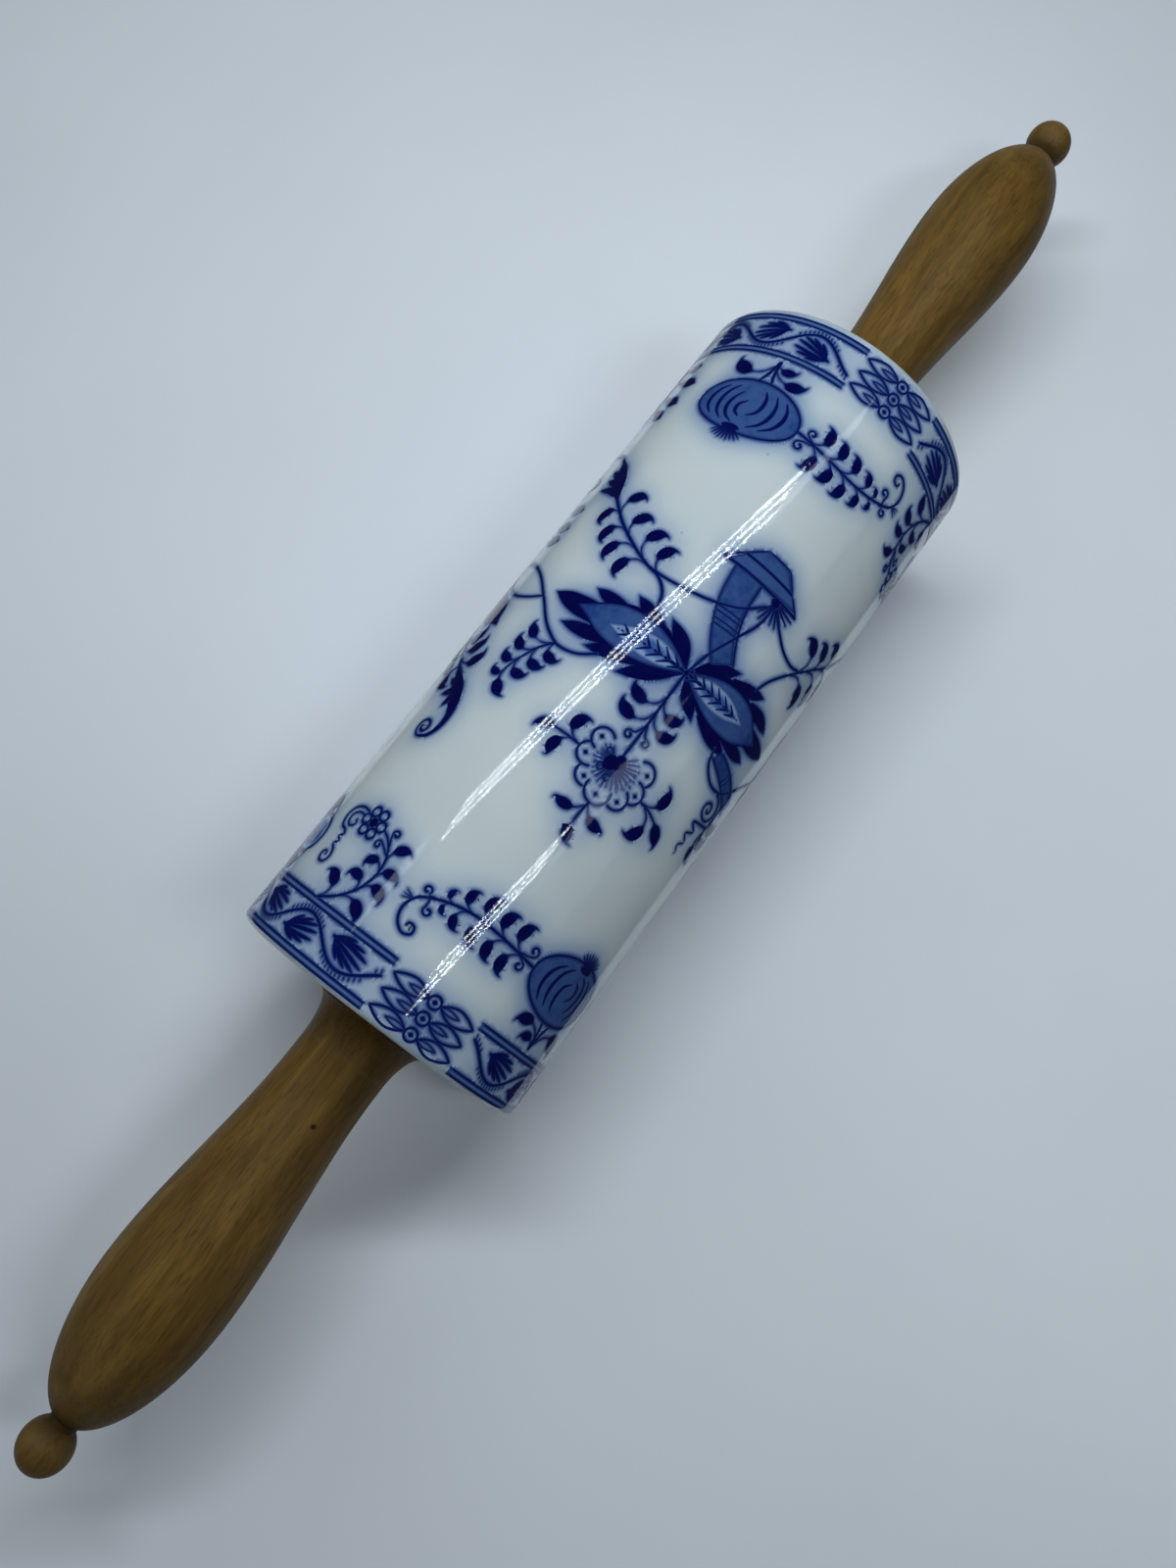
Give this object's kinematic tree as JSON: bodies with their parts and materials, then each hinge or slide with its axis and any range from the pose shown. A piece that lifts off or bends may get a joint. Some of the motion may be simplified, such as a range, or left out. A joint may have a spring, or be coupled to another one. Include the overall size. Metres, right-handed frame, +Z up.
{
  "type": "rolling pin",
  "caption": "Porcelain rolling pin: a hollow glazed barrel with blue underglaze decoration turns on a wooden axle between turned handles with ball ends.",
  "frame": {"origin": "on the table, under the middle of the barrel", "axes": "+X along the pin towards the handle that is further away in the picture, +Z up"},
  "size_m": [0.446, 0.08, 0.08],
  "materials": {
    "glaze": "glossy glaze over blue decoration",
    "grip_wood": "aged, hand-worn, matt to satin",
    "axle_wood": "bare",
    "bush_wood": "bare",
    "pin_steel": "dark, aged"
  },
  "bodies": {
    "handles": {"axle_rod": "axle_wood", "left_handle": "grip_wood", "right_handle": "grip_wood", "left_handle_pin": "pin_steel", "right_handle_pin": "pin_steel"},
    "barrel": {"barrel": "glaze", "left_bush": "bush_wood", "right_bush": "bush_wood"}
  },
  "joints": [
    {"name": "barrel_spin", "type": "hinge", "parent": "handles", "child": "barrel", "pos_m": [0, 0, 0.04], "axis": [1, 0, 0], "continuous": true}
  ]
}
